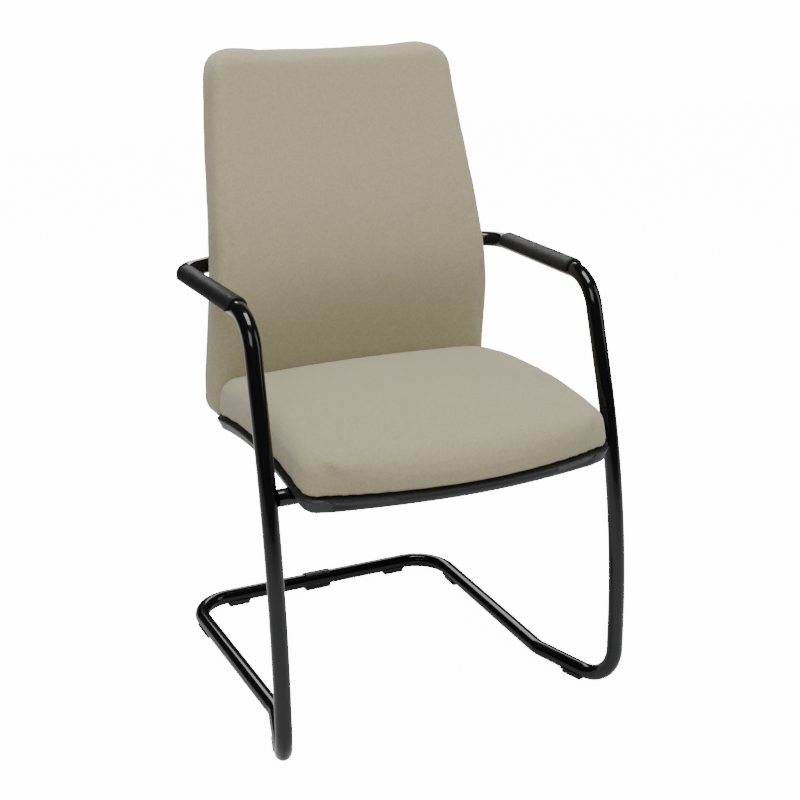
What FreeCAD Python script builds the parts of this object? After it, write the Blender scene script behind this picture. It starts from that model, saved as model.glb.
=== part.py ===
import FreeCAD
import Part
import Sketcher
import math
import os

# Sled base visitor chair: a bent steel tube frame on glides, an upholstered seat over a black
# underside shell, an upholstered curved back and two arm covers.
# Millimetres, +Z up, the sitter faces -Y. The origin is on the floor, at the middle of the plan.
# A "reach" is a distance towards the sitter's feet from the centre of the rear floor bar.
# Left and right are the sitter's: left is +X.

SIZES = {
    # frame tube and its bent path, at the corners before they are rounded
    "tube_diameter": 25.0,
    "tube_wall": 2.0,
    "glide_thickness": 5.0,
    "rear_corner_x": 238.5,
    "rear_corner_radius": 65.0,
    "runner_bend_x": 232.8,
    "runner_bend_reach": 400.4,
    "runner_bend_radius": 68.0,
    "foot_x": 278.0,
    "foot_reach": 557.5,
    "foot_radius": 62.0,
    "knee_x": 279.2,
    "knee_reach": 550.6,
    "knee_height": 318.0,
    "knee_radius": 1500.0,
    "arm_front_x": 271.3,
    "arm_front_reach": 451.4,
    "arm_front_radius": 62.0,
    "arm_rear_x": 277.6,
    "arm_rear_reach": 159.3,
    "arm_rear_radius": 45.6,
    "arm_height": 659.5,
    "arm_inward_slope": 0.518,
    "back_bar_radius": 60.0,
    "frame_step_angle": 20.0,
    "joint_gap": 0.2,
    "sleeve_wall": 2.0,
    "sleeve_clearance": 0.1,
    "sleeve_length": 90.0,
    # clip over the joint of the rear floor bar
    "clip_width": 47.0,
    "clip_wall": 2.5,
    "clip_lap_angle": 35.0,
    # glides
    "glide_length": 38.0,
    "glide_wrap_angle": 62.0,
    "glide_wall": 2.5,
    "peg_diameter": 6.0,
    "peg_length": 7.0,
    "peg_clearance": 0.15,
    "rear_glide_x": 152.5,
    "runner_glide_reach": 85.0,
    "front_glide_setback": 81.0,
    # arm covers
    "pad_thickness": 4.5,
    "pad_wrap_angle": 98.0,
    "pad_end_margin": 1.0,
    "pad_peg_inset": 40.0,
    # front seat bar and its saddle plates
    "seat_bar_height": 418.7,
    "saddle_x": 130.0,
    "saddle_length": 64.0,
    "saddle_width": 58.0,
    "saddle_thickness": 2.0,
    "saddle_bolt_pitch": 38.0,
    # seat plan
    "seat_front_half_width": 248.8,
    "seat_rear_half_width": 241.5,
    "seat_front_reach": 616.5,
    "seat_side_front_reach": 579.0,
    "seat_rear_reach": 163.0,
    "seat_front_corner_radius": 36.0,
    "seat_rear_corner_radius": 46.0,
    # seat side view: arcs for the trim line and the top
    "trim_peak_reach": 378.0,
    "trim_peak_height": 460.4,
    "trim_radius": 920.0,
    "trim_cross_radius": 4760.0,
    "seat_top_peak_reach": 370.0,
    "seat_top_height": 513.0,
    "seat_top_radius": 880.0,
    "seat_top_cross_radius": 4000.0,
    "seat_draw_in": 4.0,
    "seat_edge_radius": 24.0,
    "seat_hem_radius": 2.5,
    "seat_board_thickness": 12.0,
    "seat_board_inset": 14.0,
    "seat_board_rear_reach": 193.0,
    # underside shell
    "shell_depth": 15.0,
    "shell_wall": 2.5,
    "shell_inset": 1.0,
    "shell_draw_in": 6.0,
    "shell_edge_radius": 4.5,
    "boss_diameter": 16.0,
    "shell_screw_x": 202.0,
    "shell_screw_front_reach": 545.0,
    "shell_screw_mid_reach": 385.0,
    "shell_screw_rear_reach": 225.0,
    "shell_screw_diameter": 4.0,
    "shell_screw_length": 12.0,
    # back side view: front face reach at five heights, and the thickness there
    "back_bottom_height": 412.0,
    "back_low_height": 500.0,
    "back_lumbar_height": 622.0,
    "back_high_height": 720.0,
    "back_upper_height": 860.0,
    "back_top_height": 982.5,
    "back_bottom_reach": 166.6,
    "back_low_reach": 172.5,
    "back_lumbar_reach": 186.4,
    "back_high_reach": 171.5,
    "back_upper_reach": 131.8,
    "back_top_reach": 104.5,
    "back_bottom_thickness": 68.8,
    "back_low_thickness": 69.7,
    "back_lumbar_thickness": 68.8,
    "back_high_thickness": 62.0,
    "back_upper_thickness": 61.2,
    "back_top_thickness": 61.0,
    "back_curve_radius": 1140.0,
    # back front view
    "back_bottom_half_width": 232.5,
    "back_middle_half_width": 220.5,
    "back_top_half_width": 191.5,
    "back_top_dip": 8.0,
    "back_bottom_corner_radius": 30.0,
    "back_top_corner_radius": 34.0,
    "back_front_edge_radius": 21.0,
    "back_rear_edge_radius": 23.0,
    "back_foam_thickness": 36.0,
    "back_board_thickness": 12.0,
    "back_panel_inset": 26.0,
    "rear_cover_edge_radius": 5.0,
    # plate that carries the back on the rear tube
    "back_plate_width": 150.0,
    "back_plate_height": 74.0,
    "back_plate_thickness": 4.0,
    "back_bolt_x": 52.0,
    "back_bolt_rise": 25.0,
    # flat steel links between the seat board and the back board
    "link_x": 55.0,
    "link_width": 30.0,
    "link_thickness": 5.0,
    "link_bend_radius": 9.0,
    "link_front_reach": 330.0,
    "link_top_height": 545.0,
    "link_rear_bolt_reach": 215.0,
    "link_front_bolt_reach": 305.0,
    "link_low_bolt_height": 475.0,
    "link_high_bolt_height": 520.0,
    # fasteners
    "bolt_diameter": 6.0,
    "bolt_clearance": 0.5,
    "bolt_head_across": 10.0,
    "bolt_head_height": 4.0,
    "nut_collar_across": 8.5,
    "nut_plate_width": 18.0,
    "nut_plate_thickness": 1.6,
    "soft_clearance": 0.3,
}

Vec = FreeCAD.Vector
Z_AXIS = Vec(0, 0, 1)
X_AXIS = Vec(1, 0, 0)
Y_AXIS = Vec(0, 1, 0)

doc = FreeCAD.newDocument("visitor_chair")
sheet = doc.addObject("Spreadsheet::Sheet", "Sizes")
for row, (alias, value) in enumerate(SIZES.items(), 1):
    sheet.set(f"A{row}", alias.replace("_", " "))
    sheet.set(f"B{row}", str(value))
    sheet.setAlias(f"B{row}", alias)
doc.recompute()


def size(alias):
    """A size from the sheet, in millimetres or degrees."""
    return float(sheet.get(alias))


tube_radius = size("tube_diameter") / 2
tube_floor_height = tube_radius + size("glide_thickness")
rear_bar_y = (size("seat_front_reach") - tube_radius - size("clip_wall")) / 2
SIDES = {"left": 1, "right": -1}
nodes = {}


def at(x, reach, height):
    """The point at a reach in front of the rear floor bar."""
    return Vec(x, rear_bar_y - reach, height)


# Helpers for sketches, bodies and plain solids


def add_body(name):
    body = doc.addObject("PartDesign::Body", name)
    body.Label = name
    nodes[name] = body
    return body


def add_sketch(body, name, role):
    """A sketch on one of the body's own origin planes."""
    plane = next(f for f in body.Origin.OriginFeatures if f.Role == role)
    sketch = body.newObject("Sketcher::SketchObject", name)
    sketch.AttachmentSupport = (plane, [""])
    sketch.MapMode = "FlatFace"
    return sketch


def sketch_circle(sketch, centre, diameter):
    """A circle held by its centre's x and y, and its diameter, each an expression."""
    start = Vec(1, 1, 0)
    index = sketch.addGeometry(Part.Circle(start, Z_AXIS, 1), False)
    for kind, expression in (("DistanceX", centre[0]), ("DistanceY", centre[1])):
        if expression == "0":
            line = {"DistanceX": -2, "DistanceY": -1}[kind]
            sketch.addConstraint(Sketcher.Constraint("PointOnObject", index, 3, line))
            continue
        number = sketch.addConstraint(Sketcher.Constraint(kind, -1, 1, index, 3, 1.0))
        sketch.setExpression(f"Constraints[{number}]", expression)
    number = sketch.addConstraint(Sketcher.Constraint("Diameter", index, 2.0))
    sketch.setExpression(f"Constraints[{number}]", diameter)
    return index


def pad(body, sketch, length, both_ways=False, backwards=False):
    """A pad whose length is bound to an expression."""
    feature = body.newObject("PartDesign::Pad", sketch.Name + "_pad")
    feature.Profile = sketch
    feature.Midplane = both_ways
    feature.Reversed = backwards
    feature.setExpression("Length", length)
    sketch.Visibility = False
    return feature


def add_shape(name, shape, label=None):
    """A feature whose shape is made by the functions below."""
    feature = doc.addObject("Part::Feature", name)
    feature.Label = label or name
    feature.Shape = shape
    if label is None:
        nodes[name] = feature
    return feature


def face_of(edges):
    return Part.Face(Part.Wire(Part.__sortEdges__(edges)))


def rounded_wire(corners, closed=False):
    """Straight runs through (point, radius) corners, each corner rounded by a tangent arc."""
    count = len(corners)
    runs = []
    for i, (point, radius) in enumerate(corners):
        if not closed and i in (0, count - 1):
            runs.append((point, None, point))
            continue
        before = (point - corners[i - 1][0]).normalize()
        after = (corners[(i + 1) % count][0] - point).normalize()
        turn = before.getAngle(after)
        setback = radius * math.tan(turn / 2)
        start = point - before * setback
        end = point + after * setback
        inward = (after - before).normalize()
        middle = point + inward * (radius / math.cos(turn / 2) - radius)
        runs.append((start, middle, end))
    edges = []
    for i, (start, middle, end) in enumerate(runs):
        if middle is not None:
            edges.append(Part.Arc(start, middle, end).toShape())
        following = runs[(i + 1) % count] if closed or i + 1 < count else None
        if following and (following[0] - end).Length > 0.05:
            edges.append(Part.LineSegment(end, following[0]).toShape())
    return Part.Wire(edges)


def corner_arc(start, corner, end):
    """A rounded corner from start to end, for runs that meet at the corner point."""
    middle = (start + end) * (1 - math.sqrt(0.5)) + corner * (math.sqrt(2) - 1)
    return Part.Arc(start, middle, end).toShape()


def bow(start, middle, end):
    """An arc through three points, or a line where they lie in line."""
    if middle.distanceToLine(start, end - start) < 0.02:
        return Part.LineSegment(start, end).toShape()
    return Part.Arc(start, middle, end).toShape()


def mirrored(point):
    return Vec(-point.x, point.y, point.z)


def ring(near, far, near_corner=None, far_corner=None):
    """An even closed wire. Near and far are each (middle, end), a corner is its (start, point, end)."""
    near_middle, near_end = near
    far_middle, far_end = far
    edges = [bow(mirrored(near_end), near_middle, near_end)]
    side_start, side_end = near_end, far_end
    if near_corner:
        edges.append(corner_arc(near_end, *near_corner))
        side_start = near_corner[1]
    if far_corner:
        side_end = far_corner[0]
    edges.append(Part.LineSegment(side_start, side_end).toShape())
    if far_corner:
        edges.append(corner_arc(side_end, far_corner[1], far_end))
    edges.append(bow(far_end, far_middle, mirrored(far_end)))
    if far_corner:
        edges.append(corner_arc(mirrored(far_end), mirrored(far_corner[1]), mirrored(side_end)))
    edges.append(Part.LineSegment(mirrored(side_end), mirrored(side_start)).toShape())
    if near_corner:
        edges.append(corner_arc(mirrored(side_start), mirrored(near_corner[0]), mirrored(near_end)))
    return edges


def skin(rings):
    """A solid ruled from ring to ring. The end rings are closed by a face ruled across them."""
    faces = []
    for first, second in zip(rings, rings[1:]):
        for edge, following in zip(first, second):
            faces.append(Part.makeRuledSurface(edge, following))
    for end in (rings[0], rings[-1]):
        half = len(end) // 2
        faces.append(Part.makeRuledSurface(end[0], end[half]))
        for run in (end[1:half], end[half + 1:]):
            if len(run) > 1:
                shut = Part.LineSegment(run[-1].valueAt(run[-1].LastParameter), run[0].valueAt(run[0].FirstParameter))
                faces.append(Part.Face(Part.Wire(run + [shut.toShape()])))
    solid = Part.Solid(Part.makeShell(faces))
    if solid.Volume < 0:
        solid.reverse()
    return solid


def end_round(radius, gap):
    """How far a rounded edge of this radius draws in, at a gap from its end."""
    inside = radius - min(max(gap, 0.0), radius)
    return radius - math.sqrt(radius**2 - inside**2)


def path_frames(path, widest_step):
    """Points along a wire with the way on and a transported side direction, close together in its bends."""
    frames = []
    side = None
    for edge in path.OrderedEdges:
        first, last = edge.FirstParameter, edge.LastParameter
        way_in, way_out = edge.tangentAt(first), edge.tangentAt(last)
        turn = math.degrees(way_in.getAngle(way_out))
        count = max(1, math.ceil(turn / widest_step - 0.01))
        for i in range(0 if side is None else 1, count + 1):
            here = first + (last - first) * i / count
            way = edge.tangentAt(here)
            if side is None:
                side = Z_AXIS
            side = (side - way * side.dot(way)).normalize()
            frames.append((edge.valueAt(here), way, side))
    return frames


def round_ring(frame, radius):
    """A circle square to the path as four quarter arcs."""
    centre, way, side = frame
    other = way.cross(side)

    def spot(angle):
        return centre + (side * math.cos(angle) + other * math.sin(angle)) * radius

    quarter = math.pi / 2
    return [
        Part.Arc(spot(i * quarter), spot((i + 0.5) * quarter), spot((i + 1) * quarter)).toShape()
        for i in range(4)
    ]


def flat_ring(frame, inner_radius, sides):
    """A polygon square to the path whose flats stand at the inner radius."""
    centre, way, side = frame
    other = way.cross(side)
    corner = inner_radius / math.cos(math.pi / sides)
    points = []
    for i in range(sides):
        angle = 2 * math.pi * i / sides
        points.append(centre + (side * math.cos(angle) + other * math.sin(angle)) * corner)
    return [Part.LineSegment(points[i], points[(i + 1) % sides]).toShape() for i in range(sides)]


def tube_skin(rings):
    """A solid ruled through closed flat rings."""
    faces = []
    for first, second in zip(rings, rings[1:]):
        for edge, following in zip(first, second):
            faces.append(Part.makeRuledSurface(edge, following))
    faces.append(Part.Face(Part.Wire(rings[0])))
    faces.append(Part.Face(Part.Wire(rings[-1])))
    solid = Part.Solid(Part.makeShell(faces))
    if solid.Volume < 0:
        solid.reverse()
    return solid


def cylinder(radius, length, start, direction):
    return Part.makeCylinder(radius, length, start, direction)


# Back, side view: each face is one curve, swung about an upright axis in front of the chair

BACK_STATIONS = ("bottom", "low", "lumbar", "high", "upper", "top")
back_axis_y = rear_bar_y - size("back_lumbar_reach") - size("back_curve_radius")
back_axis = Vec(0, back_axis_y, 0)


def back_curve(face, depth):
    """A curve a depth behind the back's front or rear face, on the middle plane."""
    points = []
    for station in BACK_STATIONS:
        reach = size(f"back_{station}_reach") - depth
        if face == "rear":
            reach -= size(f"back_{station}_thickness")
        points.append(at(0, reach, size(f"back_{station}_height")))
    curve = Part.BSplineCurve()
    curve.interpolate(points)
    return curve


def back_point(face, depth, x, height):
    """The point of a swung back face at an x and a height."""
    curve = back_curve(face, depth)
    low, high = curve.FirstParameter, curve.LastParameter
    for _ in range(40):
        middle = (low + high) / 2
        if curve.value(middle).z < height:
            low = middle
        else:
            high = middle
    radius = curve.value(low).y - back_axis_y
    return Vec(x, back_axis_y + math.sqrt(radius**2 - x**2), height)


def back_half_width(height, inset):
    """Half the back's width at a height: an arc from the bottom through the middle to the top."""
    low, high = size("back_bottom_height"), size("back_top_height")
    middle = size("back_high_height") - 20
    side = Part.Circle(
        Vec(size("back_bottom_half_width"), 0, low),
        Vec(size("back_middle_half_width"), 0, middle),
        Vec(size("back_top_half_width"), 0, high),
    )
    reach = math.sqrt(side.Radius**2 - (height - side.Center.z) ** 2)
    full = side.Center.x + math.copysign(reach, size("back_middle_half_width") - side.Center.x)
    corner = end_round(size("back_bottom_corner_radius"), height - low - inset)
    corner += end_round(size("back_top_corner_radius"), high - inset - height)
    return full - corner - inset


def back_grid():
    """Heights that the sections of every back piece share, so that their faces stay parallel."""
    low = size("back_bottom_height") + 60
    middle = size("arm_height")
    high = size("back_top_height") - 65
    lower = [low + (middle - low) * i / 4 for i in range(4)]
    return lower + [middle + (high - middle) * i / 5 for i in range(6)]


def back_levels(inset):
    """The heights of a back piece's sections, close together where its ends round off."""
    low = size("back_bottom_height") + inset
    high = size("back_top_height") - inset
    levels = [low + size("back_bottom_corner_radius") * share for share in (0.0, 0.15, 0.5, 1.0)]
    levels += back_grid()
    levels += [high - size("back_top_corner_radius") * share for share in (1.0, 0.6, 0.32, 0.14, 0.03, 0.0)]
    return levels


def back_spot(face, depth, x, height):
    """The point of a ruled back face at an x and a height between the shared sections."""
    grid = back_grid()
    above = next(level for level in grid if level >= height)
    below = grid[grid.index(above) - 1]
    share = (height - below) / (above - below)
    return back_point(face, depth, x, below) * (1 - share) + back_point(face, depth, x, above) * share


def back_section(height, near, far, inset=0.0, near_round=0.0, far_round=0.0):
    """A level ring between two faces of the back, each a (face, depth) pair."""
    low, high = size("back_bottom_height") + inset, size("back_top_height") - inset
    gap = min(height - low, high - height)
    near = (near[0], near[1] + end_round(near_round, gap))
    far = (far[0], far[1] - end_round(far_round, gap))
    half = back_half_width(height, inset)
    dip = size("back_top_dip") * max(0.0, (height - size("back_upper_height")) / (size("back_top_height") - size("back_upper_height")))
    middle_near = back_point(*near, 0, height) - Z_AXIS * dip
    middle_far = back_point(*far, 0, height) - Z_AXIS * dip
    if not near_round:
        near_end = back_point(*near, half, height)
        far_end = back_point(*far, half, height)
        return ring((middle_near, near_end), (middle_far, far_end))
    depth = middle_far.y - middle_near.y
    near_round = min(near_round, depth * 0.5)
    far_round = min(far_round, depth * 0.4)
    near_end = back_point(*near, half - near_round, height)
    far_end = back_point(*far, half - far_round, height)
    near_corner = (Vec(half, near_end.y, height), Vec(half, near_end.y + near_round, height))
    far_corner = (Vec(half, far_end.y - far_round, height), Vec(half, far_end.y, height))
    return ring((middle_near, near_end), (middle_far, far_end), near_corner, far_corner)


def back_layer(near, far, inset):
    """The solid between two faces of the back, smaller all round by an inset."""
    return skin([back_section(height, near, far, inset) for height in back_levels(inset)])


def back_envelope(grow):
    """The whole back with its edges rounded, larger all round by a small amount."""
    rounds = (size("back_front_edge_radius"), size("back_rear_edge_radius"))
    levels = back_levels(-grow)
    return skin([back_section(h, ("front", -grow), ("rear", grow), -grow, *rounds) for h in levels])


# Frame: two mirrored halves of bent tube, joined over sleeves behind the back and on the floor

plate_back = ("rear", size("soft_clearance") + size("back_plate_thickness"))
weld_gap = size("soft_clearance")
back_bar_y = back_spot(*plate_back, 0, size("arm_height")).y + tube_radius + weld_gap
back_bar_reach = rear_bar_y - back_bar_y
arm_turn_reach = size("arm_rear_reach") - back_bar_reach
back_bar_bend_x = size("arm_rear_x") - arm_turn_reach / size("arm_inward_slope")
knee = at(size("knee_x"), size("knee_reach"), size("knee_height"))
foot = at(size("foot_x"), size("foot_reach"), tube_floor_height)
runner_bend = at(size("runner_bend_x"), size("runner_bend_reach"), tube_floor_height)
arm_front = at(size("arm_front_x"), size("arm_front_reach"), size("arm_height"))
arm_rear = at(size("arm_rear_x"), size("arm_rear_reach"), size("arm_height"))
half_gap = size("joint_gap") / 2
frame_corners = [
    (at(half_gap, 0, tube_floor_height), None),
    (at(size("rear_corner_x"), 0, tube_floor_height), size("rear_corner_radius")),
    (runner_bend, size("runner_bend_radius")),
    (foot, size("foot_radius")),
    (knee, size("knee_radius")),
    (arm_front, size("arm_front_radius")),
    (arm_rear, size("arm_rear_radius")),
    (at(back_bar_bend_x, back_bar_reach, size("arm_height")), size("back_bar_radius")),
    (at(half_gap, back_bar_reach, size("arm_height")), None),
]
frame_path = rounded_wire(frame_corners)
frame_steps = path_frames(frame_path, size("frame_step_angle"))
frame_rod = tube_skin([round_ring(step, tube_radius) for step in frame_steps])
frame_bore = tube_skin([flat_ring(step, tube_radius - size("tube_wall"), 12) for step in frame_steps])

runner_direction = (runner_bend - frame_corners[1][0]).normalize()
front_run = (foot - runner_bend).normalize()
arm_run = (arm_rear - arm_front).normalize()
floor_glides = {
    "rear": (at(size("rear_glide_x"), 0, tube_floor_height), X_AXIS),
    "runner": (
        frame_corners[1][0] + runner_direction * size("runner_glide_reach"),
        runner_direction,
    ),
    "front": (runner_bend + front_run * size("front_glide_setback"), front_run),
}


def corner_setback(corner, radius):
    """How far a rounded corner of the frame path reaches along its runs."""
    points = [point for point, _ in frame_corners]
    i = points.index(corner)
    turn = (points[i] - points[i - 1]).getAngle(points[i + 1] - points[i])
    return radius * math.tan(turn / 2)


pad_start = corner_setback(arm_front, size("arm_front_radius")) + size("pad_end_margin")
pad_end = (
    (arm_rear - arm_front).Length
    - corner_setback(arm_rear, size("arm_rear_radius"))
    - size("pad_end_margin")
)
pad_pegs = [
    arm_front + arm_run * (pad_start + size("pad_peg_inset")),
    arm_front + arm_run * (pad_end - size("pad_peg_inset")),
]
peg_hole_radius = size("peg_diameter") / 2 + size("peg_clearance")
frame_tube = frame_rod.cut(frame_bore)
for point, _ in floor_glides.values():
    frame_tube = frame_tube.cut(cylinder(peg_hole_radius, tube_radius + 1, point, -Z_AXIS))
for point in pad_pegs:
    frame_tube = frame_tube.cut(cylinder(peg_hole_radius, tube_radius + 1, point, Z_AXIS))
add_shape("frame_tube_left", frame_tube)
add_shape("frame_tube_right", frame_tube.mirror(Vec(0, 0, 0), X_AXIS))

section = math.pi * (tube_radius**2 - (tube_radius - size("tube_wall")) ** 2)
print(f"frame tube volume over section x length: {frame_tube.Volume / (section * frame_path.Length):.4f}")


def add_sleeve(name, centre):
    """A short tube pressed into both halves of the frame, across the joint."""
    body = add_body(name)
    sketch = add_sketch(body, name + "_ring", "YZ_Plane")
    outer = "Sizes.tube_diameter - 2 * Sizes.tube_wall - 2 * Sizes.sleeve_clearance"
    sketch_circle(sketch, ("0", "0"), outer)
    sketch_circle(sketch, ("0", "0"), outer + " - 2 * Sizes.sleeve_wall")
    pad(body, sketch, "Sizes.sleeve_length", both_ways=True)
    body.Placement.Base = centre


add_sleeve("base_sleeve", at(0, 0, tube_floor_height))
add_sleeve("back_sleeve", at(0, back_bar_reach, size("arm_height")))


# Front seat bar: a straight tube between the legs, its ends coped to fit round them


def leg_axis(height):
    """The point of the left leg's axis at a height."""
    for edge in frame_path.OrderedEdges:
        first, last = edge.valueAt(edge.FirstParameter), edge.valueAt(edge.LastParameter)
        if not (first.z <= height < last.z):
            continue
        low, high = edge.FirstParameter, edge.LastParameter
        for _ in range(40):
            middle = (low + high) / 2
            if edge.valueAt(middle).z < height:
                low = middle
            else:
                high = middle
        return edge.valueAt(low)
    raise ValueError("no leg at this height")


leg_at_bar = leg_axis(size("seat_bar_height"))
seat_bar_reach = rear_bar_y - leg_at_bar.y
bar_centre = Vec(0, leg_at_bar.y, leg_at_bar.z)
bar_blank = doc.addObject("PartDesign::Body", "seat_bar_blank")
bar_sketch = add_sketch(bar_blank, "seat_bar_ring", "YZ_Plane")
sketch_circle(bar_sketch, ("0", "0"), "Sizes.tube_diameter")
sketch_circle(bar_sketch, ("0", "0"), "Sizes.tube_diameter - 2 * Sizes.tube_wall")
bar_pad = pad(bar_blank, bar_sketch, "Sizes.foot_x", both_ways=True)
bar_pad.setExpression("Length", None)
bar_pad.Length = 2 * leg_at_bar.x - 1
bar_blank.Placement.Base = bar_centre
legs = add_shape("leg_rods", Part.makeCompound([frame_rod, frame_rod.mirror(Vec(0, 0, 0), X_AXIS)]), "leg_rods")
seat_bar = doc.addObject("Part::Cut", "seat_bar")
seat_bar.Base = bar_blank
seat_bar.Tool = legs
nodes["seat_bar"] = seat_bar


# Clip over the floor joint: open at the front, with a foot under the tube


def ring_sector(radius_in, radius_out, start, end, centre=Vec(0, 0, 0)):
    """A flat ring sector in the YZ plane. Angles are in degrees from +Y towards +Z."""

    def spot(radius, angle):
        angle = math.radians(angle)
        return centre + Vec(0, radius * math.cos(angle), radius * math.sin(angle))

    middle = (start + end) / 2
    return face_of([
        Part.Arc(spot(radius_out, start), spot(radius_out, middle), spot(radius_out, end)).toShape(),
        Part.LineSegment(spot(radius_out, end), spot(radius_in, end)).toShape(),
        Part.Arc(spot(radius_in, end), spot(radius_in, middle), spot(radius_in, start)).toShape(),
        Part.LineSegment(spot(radius_in, start), spot(radius_out, start)).toShape(),
    ])


def along_x(face, length):
    """The face in the YZ plane, made into a solid centred on x = 0."""
    solid = face.extrude(Vec(length, 0, 0))
    solid.translate(Vec(-length / 2, 0, 0))
    return solid


def foot_block(half_width, length, depth):
    """A block below the tube's axis, as deep as the glides stand."""
    return Part.makeBox(length, 2 * half_width, depth, Vec(-length / 2, -half_width, -depth))


clip_lap = size("clip_lap_angle")
clip_outer = tube_radius + size("clip_wall")
clip_ring = along_x(ring_sector(tube_radius, clip_outer, -90 - clip_lap, 90 + clip_lap), size("clip_width"))
clip_foot = foot_block(tube_radius * 0.55, size("clip_width"), tube_floor_height)
clip_foot = clip_foot.cut(along_x(ring_sector(0.01, tube_radius, -179, 0), size("clip_width") + 2))
clip_foot = clip_foot.cut(Part.makeCylinder(tube_radius, size("clip_width") + 2, Vec(-size("clip_width") / 2 - 1, 0, 0), X_AXIS))
clip = clip_ring.fuse(clip_foot).removeSplitter()
clip.translate(at(0, 0, tube_floor_height))
add_shape("base_clip", clip)


# Glides: plastic cradles under the tube, each with a peg up into it

glide_wrap = size("glide_wrap_angle")
glide_outer = tube_radius + size("glide_wall")
glide_length = size("glide_length")
glide_cradle = along_x(
    ring_sector(tube_radius, glide_outer, -90 - glide_wrap, -90 + glide_wrap), glide_length
)
glide_foot = foot_block(tube_radius * 0.6, glide_length, tube_floor_height).cut(
    Part.makeCylinder(tube_radius, glide_length + 2, Vec(-glide_length / 2 - 1, 0, 0), X_AXIS)
)
glide = glide_cradle.fuse(glide_foot).removeSplitter()
glide_corners = [
    e for e in glide.Edges
    if abs(e.BoundBox.ZMax + tube_floor_height) < 0.01 and e.BoundBox.YLength > 1
]
glide = glide.makeFillet(1.2, glide_corners)
glide = glide.fuse(cylinder(size("peg_diameter") / 2, size("peg_length"), Vec(0, 0, -tube_radius - 0.5), Z_AXIS))
glide = glide.removeSplitter()

for place, (point, direction) in floor_glides.items():
    for side, sign in SIDES.items():
        turned = FreeCAD.Rotation(X_AXIS, Vec(sign * direction.x, direction.y, 0))
        feature = add_shape(f"{place}_glide_{side}", glide)
        feature.Placement = FreeCAD.Placement(Vec(sign * point.x, point.y, point.z), turned)


# Arm covers: soft-touch half rounds clipped over the straight of each arm

pad_length = pad_end - pad_start
pad_outer = tube_radius + size("pad_thickness")
pad_wrap = size("pad_wrap_angle")
pad_body = along_x(ring_sector(tube_radius, pad_outer, 90 - pad_wrap, 90 + pad_wrap), pad_length)
pad_rim = [
    e for e in pad_body.Edges
    if abs(abs(e.CenterOfMass.x) - pad_length / 2) < 0.01 and e.Length > math.pi * tube_radius * 1.2
]
pad_rim = [e for e in pad_rim if abs(e.Curve.Radius - pad_outer) < 0.01]
pad_body = pad_body.makeFillet(size("pad_thickness") * 0.8, pad_rim)
for point in pad_pegs:
    along = (point - arm_front).Length - (pad_start + pad_end) / 2
    peg = cylinder(size("peg_diameter") / 2, size("peg_length"), Vec(along, 0, tube_radius + 0.5), -Z_AXIS)
    pad_body = pad_body.fuse(peg)
pad_body = pad_body.removeSplitter()
pad_middle = arm_front + arm_run * ((pad_start + pad_end) / 2)
for side, sign in SIDES.items():
    feature = add_shape(f"arm_cover_{side}", pad_body)
    turned = FreeCAD.Rotation(X_AXIS, Vec(sign * arm_run.x, arm_run.y, arm_run.z))
    feature.Placement = FreeCAD.Placement(Vec(sign * pad_middle.x, pad_middle.y, pad_middle.z), turned)


# Seat: a plan outline cut between two crowned surfaces


def trim_height(x, reach):
    """The height of the seat's crowned trim surface."""
    along = size("trim_radius") - math.sqrt(
        size("trim_radius") ** 2 - (reach - size("trim_peak_reach")) ** 2
    )
    across = size("trim_cross_radius") - math.sqrt(size("trim_cross_radius") ** 2 - x**2)
    return size("trim_peak_height") - along - across


def top_height(x, reach):
    """The height of the seat's crowned top surface."""
    along = size("seat_top_radius") - math.sqrt(
        size("seat_top_radius") ** 2 - (reach - size("seat_top_peak_reach")) ** 2
    )
    across = size("seat_top_cross_radius") - math.sqrt(size("seat_top_cross_radius") ** 2 - x**2)
    return size("seat_top_height") - along - across


def seat_stations(inset):
    """The side reaches of a seat piece's sections, close together where its ends round off."""
    front = size("seat_side_front_reach") - inset
    rear = size("seat_rear_reach") + inset
    front_corner, rear_corner = size("seat_front_corner_radius"), size("seat_rear_corner_radius")
    stations = [rear + rear_corner * share for share in (0.0, 0.06, 0.25, 0.6, 1.0)]
    first = size("seat_rear_reach") + rear_corner + 29
    last = size("seat_side_front_reach") - front_corner - 24
    steps = 6
    stations += [first + (last - first) * i / steps for i in range(steps + 1)]
    stations += [front - front_corner * share for share in (1.0, 0.6, 0.32, 0.14, 0.03, 0.0)]
    return stations


def seat_lead(station):
    """How far the middle of a section leads its sides, so that the front is bowed."""
    run = size("seat_side_front_reach") - size("seat_rear_reach")
    share = (station - size("seat_rear_reach")) / run
    return (size("seat_front_reach") - size("seat_side_front_reach")) * share**2


def seat_half_width(station, inset):
    """Half the seat's width at a side reach, with the corners of its plan rounded off."""
    front, rear = size("seat_side_front_reach"), size("seat_rear_reach")
    share = (station - rear) / (front - rear)
    full = size("seat_rear_half_width") * (1 - share) + size("seat_front_half_width") * share
    full -= end_round(size("seat_front_corner_radius"), front - inset - station)
    full -= end_round(size("seat_rear_corner_radius"), station - rear - inset)
    return full - inset


def seat_layer(inset, low, high):
    """The solid between two crowned surfaces, each a function of x and reach."""
    rings = []
    for station in seat_stations(inset):
        half = seat_half_width(station, inset)
        middle = station + seat_lead(station)
        near = (at(0, middle, low(0, middle)), at(half, station, low(half, station)))
        far = (at(0, middle, high(0, middle)), at(half, station, high(half, station)))
        rings.append(ring(near, far))
    return skin(rings)


def raised(surface, lift):
    """A surface moved up by a lift."""
    return lambda x, reach: surface(x, reach) + lift


# Fasteners: a socket button bolt, a flanged tee nut and a pan-head screw, each along a direction

bolt_radius = size("bolt_diameter") / 2
hole_radius = bolt_radius + size("bolt_clearance") / 2
soft = size("soft_clearance")


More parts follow.
